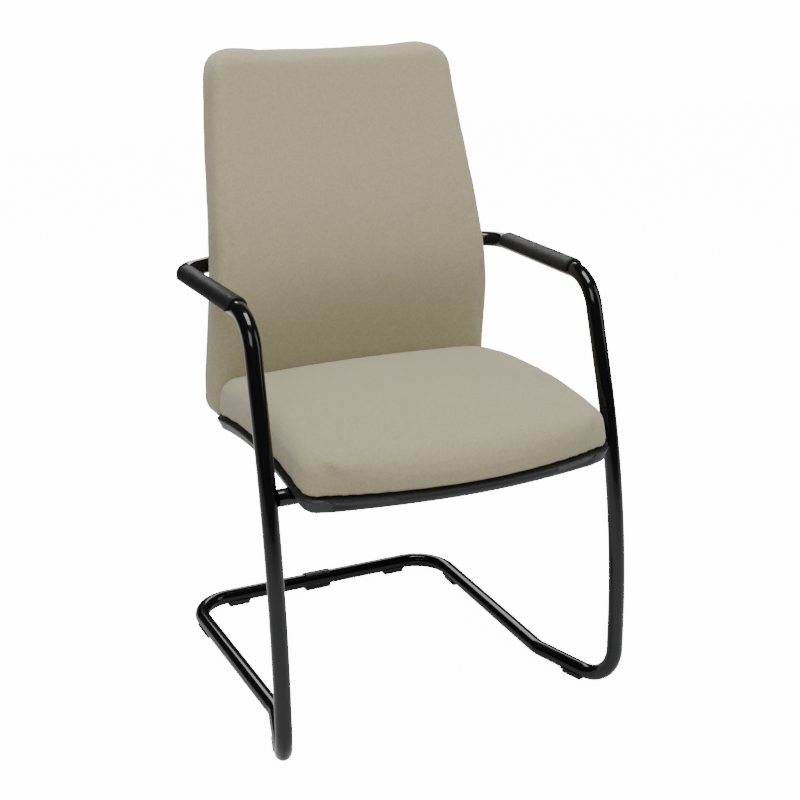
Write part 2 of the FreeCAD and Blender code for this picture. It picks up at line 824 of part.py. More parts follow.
def hexagon(across, thickness, base):
    """A hexagonal prism on a base height, up the z axis."""
    corner = across / 2 / math.cos(math.pi / 6)
    points = [Vec(corner * math.cos(i * math.pi / 3), corner * math.sin(i * math.pi / 3), base) for i in range(7)]
    return Part.Face(Part.makePolygon(points)).extrude(Vec(0, 0, thickness))


def bolt(seat, direction, length):
    """A hexagon bolt whose head bears on the seat point and whose shank runs along the direction."""
    head = size("bolt_head_height")
    solid = hexagon(size("bolt_head_across"), head, -head).fuse(Part.makeCylinder(bolt_radius, length))
    solid.Placement = FreeCAD.Placement(seat, FreeCAD.Rotation(Z_AXIS, direction))
    return solid


def plate_nut(face_point, direction, depth):
    """A square plate nut whose plate lies on the face point and whose collar runs along the direction."""
    wide = size("nut_plate_width")
    plate = Part.makeBox(wide, wide, size("nut_plate_thickness"), Vec(-wide / 2, -wide / 2, -size("nut_plate_thickness")))
    collar = hexagon(size("nut_collar_across"), depth, 0)
    bore = Part.makeCylinder(bolt_radius, depth + 10, Vec(0, 0, -5))
    solid = plate.fuse(collar).cut(bore)
    solid.Placement = FreeCAD.Placement(face_point, FreeCAD.Rotation(Z_AXIS, direction))
    return solid


def group(name, solids):
    """One node that holds several separate like solids."""
    return add_shape(name, Part.makeCompound(solids))


def hole(point, direction, radius=None, reach=60.0):
    """A round cutter through a point, both ways along a direction."""
    start = point - direction * reach
    return Part.makeCylinder(radius or hole_radius, 2 * reach, start, direction)


# Back pieces: foam and cloth round the front and edges, a moulded board inside, and a rear cover

foam = size("back_foam_thickness")
board = size("back_board_thickness")
board_front = foam + soft
cover_front = board_front + board + soft
panel_inset = size("back_panel_inset")
back_cushion = back_envelope(0).cut(back_layer(("front", foam), ("rear", 30), panel_inset))
back_board = back_layer(("front", board_front), ("front", board_front + board), panel_inset + soft)
rear_cover = back_layer(("front", cover_front), ("rear", 0), panel_inset + soft)

# the arm tubes press a shallow groove into the cushion's rear corners
frame_room = tube_skin([round_ring(step, tube_radius + soft) for step in frame_steps[-12:]])
for room in (frame_room, frame_room.mirror(Vec(0, 0, 0), X_AXIS)):
    back_cushion = back_cushion.cut(room)

plate_front = ("rear", soft)
plate_box = Part.makeBox(
    size("back_plate_width"),
    200,
    size("back_plate_height"),
    Vec(
        -size("back_plate_width") / 2,
        rear_bar_y - 220,
        size("arm_height") - size("back_plate_height") / 2,
    ),
)
plate_box = plate_box.makeFillet(10, [e for e in plate_box.Edges if e.BoundBox.YLength > 100])
back_plate = back_layer(plate_front, plate_back, panel_inset).common(plate_box)

head_room = size("bolt_head_across") / 2 / math.cos(math.pi / 6) + soft
collar_room = size("nut_collar_across") / 2 / math.cos(math.pi / 6) + soft
plate_room = size("nut_plate_width") * math.sqrt(0.5) + soft
back_bolts = []
back_nuts = []
for sign_x in (1, -1):
    for sign_z in (1, -1):
        x = sign_x * size("back_bolt_x")
        height = size("arm_height") + sign_z * size("back_bolt_rise")
        head_seat = back_spot(*plate_back, x, height) + Y_AXIS * soft
        nut_seat = back_spot("front", board_front, x, height) - Y_AXIS * soft
        cutter = hole(head_seat, Y_AXIS, reach=100)
        back_plate = back_plate.cut(cutter)
        rear_cover = rear_cover.cut(cutter)
        back_board = back_board.cut(hole(nut_seat, Y_AXIS, collar_room))
        back_board = back_board.cut(cylinder(plate_room, 6, nut_seat + Y_AXIS * 0.1, -Y_AXIS))
        back_plate = back_plate.cut(cylinder(head_room, 6, head_seat - Y_AXIS * 0.1, Y_AXIS))
        back_bolts.append(bolt(head_seat, -Y_AXIS, head_seat.y - nut_seat.y))
        back_nuts.append(plate_nut(nut_seat, Y_AXIS, board * 0.8))
        back_cushion = back_cushion.cut(hole(nut_seat, Y_AXIS, plate_room, 4))


# Links: flat steel bars bolted under the seat board and bent up along the front of the back board

link_half = size("link_thickness") / 2
link_gap = 0.5
link_outer_x = size("link_x") + size("link_width") / 2


def trim_slope(reach):
    """How fast the trim surface falls with reach towards the front."""
    run = reach - size("trim_peak_reach")
    return -run / math.sqrt(size("trim_radius") ** 2 - run**2)


def under_board(x, reach, depth):
    """A point a depth below the trim surface, square to it in side view, and the way down."""
    slope = trim_slope(reach)
    down = Vec(0, -slope, -1).normalize()
    return at(x, reach, trim_height(x, reach)) + down * depth, down


def meet(point_a, way_a, point_b, way_b):
    """Where two lines in the side view cross."""
    cross = way_a.y * way_b.z - way_a.z * way_b.y
    gap = point_b - point_a
    along = (gap.y * way_b.z - gap.z * way_b.y) / cross
    return point_a + way_a * along


upright_low = back_spot("front", board_front, link_outer_x, size("link_low_bolt_height"))
upright_high = back_spot("front", board_front, link_outer_x, size("link_top_height"))
upright_way = (upright_high - upright_low).normalize()
upright_forward = Vec(0, -upright_way.z, upright_way.y)
upright_low = upright_low + upright_forward * (link_half + link_gap)
upright_high = upright_high + upright_forward * (link_half + link_gap)
bar_front, bar_front_down = under_board(link_outer_x, size("link_front_reach"), link_half + link_gap)
link_rear_reach = size("link_rear_bolt_reach") - 25
bar_rear, bar_rear_down = under_board(link_outer_x, link_rear_reach, link_half + link_gap)
front_way = Vec(0, -bar_front_down.z, bar_front_down.y)
rear_way = Vec(0, -bar_rear_down.z, bar_rear_down.y)
bar_middle = meet(bar_front, front_way, bar_rear, rear_way)
bar_corner = meet(bar_rear, rear_way, upright_low, upright_way)
link_path = rounded_wire([
    (Vec(0, bar_front.y, bar_front.z), None),
    (Vec(0, bar_middle.y, bar_middle.z), size("trim_radius") - link_half),
    (Vec(0, bar_corner.y, bar_corner.z), size("link_bend_radius")),
    (Vec(0, upright_high.y, upright_high.z), None),
])


def bent_bar(path, width, thickness):
    """A flat bar swept along a side-view path, its width across the chair."""
    edge = path.OrderedEdges[0]
    start = edge.valueAt(edge.FirstParameter)
    way = edge.tangentAt(edge.FirstParameter)
    up = Vec(0, -way.z, way.y)
    across = X_AXIS * (width / 2)
    rise = up * (thickness / 2)
    ring = [start + across + rise, start - across + rise, start - across - rise, start + across - rise]
    profile = Part.makePolygon(ring + ring[:1])
    solid = path.makePipeShell([profile], True, False)
    if solid.Volume < 0:
        solid.reverse()
    return solid


link_bar = bent_bar(link_path, size("link_width"), size("link_thickness"))
link_room = bent_bar(link_path, size("link_width") + 2 * soft, size("link_thickness") + 2 * soft)
link_places = []
for reach in (size("link_front_bolt_reach"), size("link_rear_bolt_reach")):
    seat, down = under_board(link_outer_x, reach, size("link_thickness") + link_gap)
    link_places.append((Vec(0, seat.y, seat.z), -down, size("seat_board_thickness")))
for height in (size("link_low_bolt_height"), size("link_high_bolt_height")):
    span = (height - upright_low.z) / upright_way.z
    seat = upright_low + upright_way * span + upright_forward * link_half
    link_places.append((Vec(0, seat.y, seat.z), -upright_forward, board))
for seat, direction, _ in link_places:
    link_bar = link_bar.cut(hole(seat, direction))


# Seat pieces: crowned cushion, board and underside shell, all trimmed clear of the back

back_foot_box = Part.makeBox(600, 200, 200, at(-300, 230, size("back_bottom_height") - 60))
back_space = back_envelope(soft).common(back_foot_box)
board_inset = size("seat_board_inset")
board_thickness = size("seat_board_thickness")
hem = size("seat_hem_radius")
seat_rings = []
for station in seat_stations(0):
    gap = min(size("seat_side_front_reach") - station, station - size("seat_rear_reach"))
    top_round = size("seat_edge_radius")
    sunk = end_round(top_round, gap)
    half = seat_half_width(station, 0)
    top_half = half - size("seat_draw_in")
    middle = station + seat_lead(station)
    low = trim_height(half - hem, station)
    high = top_height(top_half - top_round, station) - sunk
    top_round = min(top_round, (high - low) * 0.6)
    seat_rings.append(ring(
        (at(0, middle, trim_height(0, middle)), at(half - hem, station, low)),
        (at(0, middle, top_height(0, middle) - sunk), at(top_half - top_round, station, high)),
        (at(half, station, low), at(half, station, low + hem)),
        (at(top_half, station, high - top_round), at(top_half, station, high)),
    ))
board_room = seat_layer(board_inset - soft, raised(trim_height, -5), raised(trim_height, board_thickness + soft))
seat_cushion = skin(seat_rings).cut(board_room).cut(back_space)
seat_board = seat_layer(board_inset, trim_height, raised(trim_height, board_thickness))
seat_board = seat_board.cut(Part.makeBox(600, 100, 200, at(-300, size("seat_board_rear_reach"), 380)))


depth = size("shell_depth")
wall = size("shell_wall")
rim = size("shell_inset")
drawn = size("shell_draw_in")
corner = size("shell_edge_radius")


def shell_floor(x, reach):
    """The height of the shell's underside, level across the chair."""
    return trim_height(0, reach) - depth


shell_rings = []
for station in seat_stations(rim):
    ends = min(
        size("seat_side_front_reach") - rim - station,
        station - size("seat_rear_reach") - rim,
    )
    half = seat_half_width(station, rim)
    middle = station + seat_lead(station)
    lift = max(0.0, 1 - ends / drawn)
    low_half = half - drawn * (1 - lift)
    edge_top = trim_height(half, station) - soft
    edge_low = shell_floor(0, station) + (edge_top - 1 - shell_floor(0, station)) * lift
    middle_top = trim_height(0, middle) - soft
    middle_low = shell_floor(0, middle) + (middle_top - 1 - shell_floor(0, middle)) * lift
    round_low = min(corner, (edge_top - edge_low) * 0.7)
    shell_rings.append(ring(
        (at(0, middle, middle_low), at(low_half - round_low, station, edge_low)),
        (at(0, middle, middle_top), at(half, station, edge_top)),
        (at(low_half, station, edge_low), at(low_half + (half - low_half) * 0.3, station, edge_low + round_low)),
    ))
seat_shell = skin(shell_rings)
hollow = seat_layer(rim + drawn + wall * 2, raised(shell_floor, wall), raised(trim_height, 1))
boss_room = seat_layer(rim + drawn + wall, raised(shell_floor, wall / 2), raised(trim_height, -soft))
seat_shell = seat_shell.cut(back_space)

screw_places = []
for reach_name in ("front", "mid", "rear"):
    for sign in (1, -1):
        screw_places.append((sign * size("shell_screw_x"), size(f"shell_screw_{reach_name}_reach")))
bolt_places = []
for sign in (1, -1):
    for step in (1, -1):
        reach = seat_bar_reach + step * size("saddle_bolt_pitch") / 2
        bolt_places.append((sign * size("saddle_x"), reach))
bosses = []
for x, reach in screw_places + bolt_places:
    centre, down = under_board(x, reach, 0)
    bosses.append(hole(centre, down, size("boss_diameter") / 2, 25).common(boss_room))
seat_shell = seat_shell.cut(hollow).fuse(bosses).removeSplitter()
for sign in (1, -1):
    room = link_room.copy()
    room.translate(Vec(sign * size("link_x"), 0, 0))
    seat_shell = seat_shell.cut(room)
    seat_cushion = seat_cushion.cut(room)
    back_cushion = back_cushion.cut(room)
    back_board = back_board.cut(room)

shell_screws = []
for x, reach in screw_places:
    centre, down = under_board(x, reach, 0)
    slope_drop = depth / -down.z
    level, _ = under_board(0, reach, 0)
    # the shell's floor is level across, so the head bears at the same depth for every x
    bearing = Vec(x, centre.y, level.z - slope_drop - soft)
    screw_radius = size("shell_screw_diameter") / 2
    seat_shell = seat_shell.cut(hole(bearing, down, screw_radius + 0.2, 20))
    screw = hexagon(screw_radius * 3.6, 2.5, -2.5)
    screw = screw.fuse(Part.makeCylinder(screw_radius, depth + size("shell_screw_length") - 5))
    screw.Placement = FreeCAD.Placement(bearing, FreeCAD.Rotation(Z_AXIS, -down))
    shell_screws.append(screw)
    seat_board = seat_board.cut(hole(bearing, down, screw_radius, 60))

saddle_thickness = size("saddle_thickness")
saddle_gap = 0.75
saddles = {}
bar_under, bar_down = under_board(0, seat_bar_reach, depth)
tilt = math.degrees(math.atan2(bar_down.y, -bar_down.z))
for side, sign in SIDES.items():
    plate = Part.makeBox(
        size("saddle_length"),
        size("saddle_width"),
        saddle_thickness,
        Vec(-size("saddle_length") / 2, -size("saddle_width") / 2, -saddle_thickness),
    )
    plate = plate.makeFillet(8, [e for e in plate.Edges if e.BoundBox.ZLength > saddle_thickness - 0.1])
    plate.rotate(Vec(0, 0, 0), X_AXIS, tilt)
    plate.translate(Vec(sign * size("saddle_x"), bar_under.y, bar_under.z) + bar_down * saddle_gap)
    saddles[side] = plate

seat_bolts = []
seat_nuts = []
for x, reach in bolt_places:
    centre, down = under_board(x, reach, 0)
    surface, _ = under_board(0, seat_bar_reach, depth + saddle_thickness + saddle_gap)
    way = -bar_down
    # the bolt stands square to the saddle plate, below the tee nut in the board
    plate_point = Vec(x, surface.y - (reach - seat_bar_reach) * way.z, 0)
    plate_point.z = surface.z + (reach - seat_bar_reach) * way.y
    side = "left" if x > 0 else "right"
    cutter = hole(plate_point, way)
    saddles[side] = saddles[side].cut(cutter)
    seat_shell = seat_shell.cut(cutter)
    top_of_board = depth + saddle_thickness + size("seat_board_thickness")
    seat_bolts.append(bolt(plate_point, way, top_of_board - 1))
    nut_seat = plate_point + way * (top_of_board + saddle_gap + soft)
    seat_nuts.append(plate_nut(nut_seat, -way, size("seat_board_thickness") * 0.8))
    seat_board = seat_board.cut(hole(plate_point, way, collar_room))
    seat_cushion = seat_cushion.cut(hole(nut_seat, way, plate_room, 4))

link_bolts = []
link_nuts = []
for sign in (1, -1):
    for seat, direction, through in link_places:
        seat = seat + Vec(sign * size("link_x"), 0, 0)
        far = seat + direction * (size("link_thickness") + through + 2 * link_gap)
        link_bolts.append(bolt(seat - direction * 0.1, direction, size("link_thickness") + through - 0.5))
        link_nuts.append(plate_nut(far, -direction, through * 0.7))
        barrel = hole(seat, direction, collar_room)
        flange = hole(far, direction, plate_room, 3.2)
        head_space = hole(seat, direction, head_room, 5)
        if direction.z > 0.5:
            seat_board = seat_board.cut(barrel)
            seat_cushion = seat_cushion.cut(flange)
        else:
            back_board = back_board.cut(barrel)
            rear_cover = rear_cover.cut(flange)
            back_board = back_board.cut(cylinder(plate_room, 6, far - direction * 0.1, direction))
            back_cushion = back_cushion.cut(head_space).cut(hole(seat, direction, reach=20))

for side, sign in SIDES.items():
    bar = link_bar.copy()
    bar.translate(Vec(sign * size("link_x"), 0, 0))
    add_shape(f"link_bar_{side}", bar)
    add_shape(f"seat_saddle_{side}", saddles[side])

add_shape("seat_cushion", seat_cushion)
add_shape("seat_board", seat_board)
add_shape("seat_shell", seat_shell)
add_shape("back_cushion", back_cushion)
add_shape("back_board", back_board)
add_shape("back_rear_cover", rear_cover)
add_shape("back_plate", back_plate)
group("back_bolts", back_bolts)
group("back_tee_nuts", back_nuts)
group("seat_bolts", seat_bolts)
group("seat_tee_nuts", seat_nuts)
group("link_bolts", link_bolts)
group("link_tee_nuts", link_nuts)
group("shell_screws", shell_screws)


# Check every object, then write each piece to its own file

doc.recompute()
faults = [o.Name for o in doc.Objects if "Invalid" in o.State or "Error" in o.State]
for name, feature in nodes.items():
    shape = feature.Shape
    if shape.isNull() or not shape.isValid() or not shape.Solids:
        faults.append(name)
if faults:
    raise RuntimeError("these objects failed: " + ", ".join(faults))

os.makedirs("parts", exist_ok=True)
whole = FreeCAD.BoundBox(0, 0, 0, 0, 0, 0)
for name, feature in nodes.items():
    feature.Shape.exportStep(f"parts/{name}.step")
    whole.add(feature.Shape.optimalBoundingBox())
print(f"{len(nodes)} pieces, {whole.XLength:.1f} x {whole.YLength:.1f} x {whole.ZLength:.1f} mm")
print(f"plan centre {whole.Center.x:.3f}, {whole.Center.y:.3f}, lowest {whole.ZMin:.3f}")
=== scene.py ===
import math

import bmesh
import bpy
import numpy as np
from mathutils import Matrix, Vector


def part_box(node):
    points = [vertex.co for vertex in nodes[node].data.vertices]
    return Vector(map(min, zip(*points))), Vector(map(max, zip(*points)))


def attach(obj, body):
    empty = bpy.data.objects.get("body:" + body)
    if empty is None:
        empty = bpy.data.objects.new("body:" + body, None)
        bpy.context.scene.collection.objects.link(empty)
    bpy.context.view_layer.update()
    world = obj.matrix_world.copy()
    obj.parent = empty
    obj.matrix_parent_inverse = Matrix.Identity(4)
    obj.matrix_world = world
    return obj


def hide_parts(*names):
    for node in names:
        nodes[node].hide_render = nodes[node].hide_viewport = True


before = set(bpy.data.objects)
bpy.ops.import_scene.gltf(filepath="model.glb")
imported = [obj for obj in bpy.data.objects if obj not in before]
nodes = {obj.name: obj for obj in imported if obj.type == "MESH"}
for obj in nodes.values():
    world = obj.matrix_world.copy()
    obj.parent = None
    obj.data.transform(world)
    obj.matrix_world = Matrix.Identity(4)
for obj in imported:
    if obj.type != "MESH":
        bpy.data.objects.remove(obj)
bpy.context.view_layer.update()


# Frame: two mirrored halves of 25 mm steel tube, bent cold on a mandrel and butted over sleeves,
# then powder coated gloss black. The seat bar between the legs is the same tube, welded in.

MM = 0.001
TUBE_RADIUS = 12.5 * MM
REAR_BAR_Y = 300.75 * MM
FLOOR_TUBE, ARM_TUBE = 17.5, 659.5
SEAT_BAR_HEIGHT = 418.7 * MM
SEAT_BAR_HALF = 264.0 * MM
# The corners of one half: x, reach ahead of the rear floor bar, height and bend radius, in mm.
HALF_CORNERS = (
    (0.1, 0, FLOOR_TUBE, 0.0),
    (238.5, 0, FLOOR_TUBE, 65.0),
    (232.8, 400.4, FLOOR_TUBE, 68.0),
    (278.0, 557.5, FLOOR_TUBE, 62.0),
    (279.2, 550.6, 318.0, 1500.0),
    (271.3, 451.4, ARM_TUBE, 62.0),
    (277.6, 159.3, ARM_TUBE, 45.6),
    (161.6, 99.2, ARM_TUBE, 60.0),
    (0.1, 99.2, ARM_TUBE, 0.0),
)


def at(x, reach, height):
    """A point in metres from an x, a reach ahead of the rear bar and a height, all in mm."""
    return Vector((x * MM, REAR_BAR_Y - reach * MM, height * MM))


def add_mesh(name, points, faces=(), edges=()):
    mesh = bpy.data.meshes.new(name)
    mesh.from_pydata([tuple(point) for point in points], list(edges), list(faces))
    mesh.update()
    piece = bpy.data.objects.new(name, mesh)
    bpy.context.scene.collection.objects.link(piece)
    return piece


def new_group(name, kind, inputs, outputs):
    """A node group with named inputs, each (name, socket type, default), and outputs."""
    group = bpy.data.node_groups.new(name, kind)
    for label, socket_type, default in inputs:
        socket = group.interface.new_socket(label, in_out="INPUT", socket_type=socket_type)
        if default is not None:
            socket.default_value = default
    for label, socket_type in outputs:
        group.interface.new_socket(label, in_out="OUTPUT", socket_type=socket_type)
    return group, group.nodes.new("NodeGroupInput"), group.nodes.new("NodeGroupOutput")


def apply_tree(piece, group, values):
    """Runs a geometry tree on a piece once and keeps the plain mesh."""
    modifier = piece.modifiers.new("shape", "NODES")
    modifier.node_group = group
    for socket in group.interface.items_tree:
        if socket.in_out == "INPUT" and socket.name in values:
            modifier[socket.identifier] = values[socket.name]
    piece.update_tag()
    evaluated = piece.evaluated_get(bpy.context.evaluated_depsgraph_get())
    mesh = bpy.data.meshes.new_from_object(evaluated)
    piece.modifiers.remove(modifier)
    piece.data = mesh


def bent_tube_tree():
    """A tube along a run of corners, each rounded by the bend radius that its point carries."""
    group, start, end = new_group(
        "bent_tube", "GeometryNodeTree",
        [
            ("Corners", "NodeSocketGeometry", None),
            ("Tube radius", "NodeSocketFloat", TUBE_RADIUS),
            ("Steps per bend", "NodeSocketInt", 20),
            ("Material", "NodeSocketMaterial", None),
        ],
        [("Tube", "NodeSocketGeometry")],
    )
    add = group.nodes.new
    link = group.links.new
    to_curve = add("GeometryNodeMeshToCurve")
    bend = add("GeometryNodeInputNamedAttribute")
    bend.data_type = "FLOAT"
    bend.inputs["Name"].default_value = "bend_radius"
    fillet = add("GeometryNodeFilletCurve")
    fillet.mode = "POLY"
    ring = add("GeometryNodeCurvePrimitiveCircle")
    ring.inputs["Resolution"].default_value = 40
    sweep = add("GeometryNodeCurveToMesh")
    sweep.inputs["Fill Caps"].default_value = True
    smooth = add("GeometryNodeSetShadeSmooth")
    realize = add("GeometryNodeRealizeInstances")
    paint = add("GeometryNodeSetMaterial")
    link(start.outputs["Corners"], to_curve.inputs[0])
    link(to_curve.outputs["Curve"], fillet.inputs["Curve"])
    link(bend.outputs["Attribute"], fillet.inputs["Radius"])
    link(start.outputs["Steps per bend"], fillet.inputs["Count"])
    link(start.outputs["Tube radius"], ring.inputs["Radius"])
    link(fillet.outputs["Curve"], sweep.inputs["Curve"])
    link(ring.outputs["Curve"], sweep.inputs["Profile Curve"])
    link(sweep.outputs["Mesh"], smooth.inputs["Geometry"])
    link(smooth.outputs["Geometry"], realize.inputs["Geometry"])
    link(realize.outputs["Geometry"], paint.inputs["Geometry"])
    link(start.outputs["Material"], paint.inputs["Material"])
    link(paint.outputs["Geometry"], end.inputs["Tube"])
    return group


def face_outwards(piece):
    """Merges doubles and turns every face outwards."""
    work = bmesh.new()
    work.from_mesh(piece.data)
    bmesh.ops.remove_doubles(work, verts=work.verts, dist=0.00001)
    bmesh.ops.recalc_face_normals(work, faces=work.faces)
    work.to_mesh(piece.data)
    work.free()


def add_tube(name, corners, tree, material):
    """A bent tube through (point, bend radius in metres) corners."""
    edges = [(i, i + 1) for i in range(len(corners) - 1)]
    piece = add_mesh(name, [point for point, _ in corners], edges=edges)
    bends = piece.data.attributes.new("bend_radius", "FLOAT", "POINT")
    bends.data.foreach_set("value", [radius for _, radius in corners])
    apply_tree(piece, tree, {"Material": material})
    face_outwards(piece)
    piece.data.shade_smooth()
    return piece


def surface_detail_group():
    """The fine unevenness of a hard finish: a height, and a roughness that wanders a little."""
    group, start, end = new_group(
        "surface_detail", "ShaderNodeTree",
        [
            ("Grain size", "NodeSocketFloat", 0.001),
            ("Base roughness", "NodeSocketFloat", 0.3),
            ("Roughness spread", "NodeSocketFloat", 0.05),
        ],
        [("Height", "NodeSocketFloat"), ("Roughness", "NodeSocketFloat")],
    )
    add = group.nodes.new
    link = group.links.new
    place = add("ShaderNodeTexCoord")
    scale = add("ShaderNodeMath")
    scale.operation = "DIVIDE"
    scale.inputs[0].default_value = 1.0
    link(start.outputs["Grain size"], scale.inputs[1])
    grain = add("ShaderNodeTexNoise")
    grain.inputs["Detail"].default_value = 3.0
    link(place.outputs["Object"], grain.inputs["Vector"])
    link(scale.outputs[0], grain.inputs["Scale"])
    patches = add("ShaderNodeTexNoise")
    patches.inputs["Scale"].default_value = 9.0
    patches.inputs["Detail"].default_value = 4.0
    link(place.outputs["Object"], patches.inputs["Vector"])
    centred = add("ShaderNodeMath")
    centred.operation = "SUBTRACT"
    centred.inputs[1].default_value = 0.5
    link(patches.outputs["Fac"], centred.inputs[0])
    spread = add("ShaderNodeMath")
    spread.operation = "MULTIPLY_ADD"
    link(centred.outputs[0], spread.inputs[0])
    link(start.outputs["Roughness spread"], spread.inputs[1])
    link(start.outputs["Base roughness"], spread.inputs[2])
    link(grain.outputs["Fac"], end.inputs["Height"])
    link(spread.outputs[0], end.inputs["Roughness"])
    return group


surface_detail = surface_detail_group()


def coated_material(
    name, colour, roughness, spread, grain_size, bump_depth, coat=0.0, metal=0.0, shine=0.5
):
    """A hard finish with its own grain, roughness and coat."""
    material = bpy.data.materials.new(name)
    material.use_nodes = True
    tree = material.node_tree
    shader = tree.nodes["Principled BSDF"]
    shader.inputs["Base Color"].default_value = (*colour, 1.0)
    shader.inputs["Metallic"].default_value = metal
    shader.inputs["Coat Weight"].default_value = coat
    shader.inputs["Coat Roughness"].default_value = 0.05
    shader.inputs["Specular IOR Level"].default_value = shine
    detail = tree.nodes.new("ShaderNodeGroup")
    detail.node_tree = surface_detail
    detail.inputs["Grain size"].default_value = grain_size
    detail.inputs["Base roughness"].default_value = roughness
    detail.inputs["Roughness spread"].default_value = spread
    bump = tree.nodes.new("ShaderNodeBump")
    bump.inputs["Distance"].default_value = bump_depth
    bump.inputs["Strength"].default_value = 0.6
    tree.links.new(detail.outputs["Height"], bump.inputs["Height"])
    tree.links.new(detail.outputs["Roughness"], shader.inputs["Roughness"])
    tree.links.new(bump.outputs["Normal"], shader.inputs["Normal"])
    return material


def repaint(names, material):
    """Gives CAD nodes a finish of this scene."""
    for name in names:
        slots = nodes[name].data.materials
        slots.clear()
        slots.append(material)


frame_paint = coated_material(
    "frame_paint", (0.004, 0.004, 0.0045), 0.14, 0.05, 0.004, 0.00002, coat=0.4, shine=0.2
)
tube_tree = bent_tube_tree()

for side, sign in (("left", 1), ("right", -1)):
    corners = [(at(sign * x, reach, height), bend * MM) for x, reach, height, bend in HALF_CORNERS]
    tube = add_tube(f"frame_half_{side}", corners, tube_tree, frame_paint)
    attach(tube, "root")
    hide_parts(f"frame_tube_{side}")

bar_low, bar_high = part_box("seat_bar")
bar_y = (bar_low[1] + bar_high[1]) / 2
bar_ends = [(Vector((sign * SEAT_BAR_HALF, bar_y, SEAT_BAR_HEIGHT)), 0.0) for sign in (-1, 1)]
seat_tube = add_tube("front_seat_bar", bar_ends, tube_tree, frame_paint)
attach(seat_tube, "root")
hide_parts("seat_bar")
repaint(
    ("seat_saddle_left", "seat_saddle_right", "link_bar_left", "link_bar_right", "back_plate"),
    frame_paint,
)


# Zinc plated steel: the sleeves inside the tube joints, and the bolts, nuts and screws that hold
# the back, the seat and the shell. Only the bolt heads at the back and below show.

zinc = coated_material("zinc_plate", (0.52, 0.52, 0.54), 0.32, 0.12, 0.0006, 0.00001, metal=1.0)
STEEL_NODES = (
    "base_sleeve", "back_sleeve", "back_bolts", "back_tee_nuts", "seat_bolts", "seat_tee_nuts",
    "link_bolts", "link_tee_nuts", "shell_screws",
)
repaint(STEEL_NODES, zinc)


# Glides and the clip: nylon mouldings snapped round the floor tube, each with a peg up into it.
# They are black, matt and a little worn where they stand on the floor.

glide_plastic = coated_material(
    "glide_plastic", (0.017, 0.017, 0.018), 0.42, 0.12, 0.0007, 0.00006
)
for place in ("rear", "runner", "front"):
    repaint((f"{place}_glide_left", f"{place}_glide_right"), glide_plastic)
repaint(("base_clip",), glide_plastic)


# Arm covers: soft-touch polyurethane half rounds, moulded matt black with a fine leather-like
# grain, pressed over the straight of each arm with two pegs.

arm_rubber = coated_material(
    "arm_cover", (0.011, 0.011, 0.012), 0.5, 0.1, 0.0012, 0.00015, shine=0.18
)
repaint(("arm_cover_left", "arm_cover_right"), arm_rubber)


# Boards: birch plywood, moulded to the seat and the back and drilled for their nuts. The foam and
# the pan cover them all over.


def plywood_material():
    material = bpy.data.materials.new("plywood")
    material.use_nodes = True
    tree = material.node_tree
    shader = tree.nodes["Principled BSDF"]
    place = tree.nodes.new("ShaderNodeTexCoord")
    stretch = tree.nodes.new("ShaderNodeMapping")
    stretch.inputs["Scale"].default_value = (6.0, 60.0, 60.0)
    grain = tree.nodes.new("ShaderNodeTexNoise")
    grain.inputs["Scale"].default_value = 4.0
    grain.inputs["Detail"].default_value = 6.0
    tones = tree.nodes.new("ShaderNodeValToRGB")
    tones.color_ramp.elements[0].color = (0.42, 0.27, 0.14, 1.0)
    tones.color_ramp.elements[1].color = (0.62, 0.45, 0.27, 1.0)
    tree.links.new(place.outputs["Object"], stretch.inputs["Vector"])
    tree.links.new(stretch.outputs["Vector"], grain.inputs["Vector"])
    tree.links.new(grain.outputs["Fac"], tones.inputs["Fac"])
    tree.links.new(tones.outputs["Color"], shader.inputs["Base Color"])
    shader.inputs["Roughness"].default_value = 0.6
    return material


repaint(("seat_board", "back_board"), plywood_material())


# Back cushion: moulded foam on the plywood board, under one tight taupe cover that wraps the
# edges and is closed behind. It is waisted at the lumbar and dips a little along the top.

# Sizes in mm: the front face's reach and the depth at each height, then (height, half width).
BACK_HEIGHTS = (412.0, 500.0, 622.0, 720.0, 860.0, 982.5)
BACK_REACHES = (166.6, 172.5, 186.4, 171.5, 131.8, 104.5)
BACK_DEPTHS = (68.8, 69.7, 68.8, 62.0, 61.2, 61.0)
BACK_WIDTHS = ((412.0, 242.8), (700.0, 230.6), (982.5, 201.6))
BACK_CURVE = 1140.0
BACK_TOP_DIP = 8.0
BACK_DIP_START = 860.0
BACK_BOTTOM_CORNER = 30.0
BACK_TOP_CORNER = 34.0
BACK_FRONT_EDGE = 12.0
BACK_REAR_EDGE = 10.0
BACK_END_RUN = 34.0
# Each pad starts this much smaller all round, and the cloth swells by no more than it.
PAD_SWELL = 2.0
PAD_VOXEL = 6.0 * MM
PAD_PRESSURE = 3.0
SWELL_STEPS = 12
CLOTH_STIFFNESS = 25
LEVEL_STEP = 14.0
CLOTH_TONES = ((0.315, 0.283, 0.178), (0.390, 0.351, 0.226))
THREAD_PITCH = 1.2 * MM
MOTTLE_SIZE = 3.5 * MM


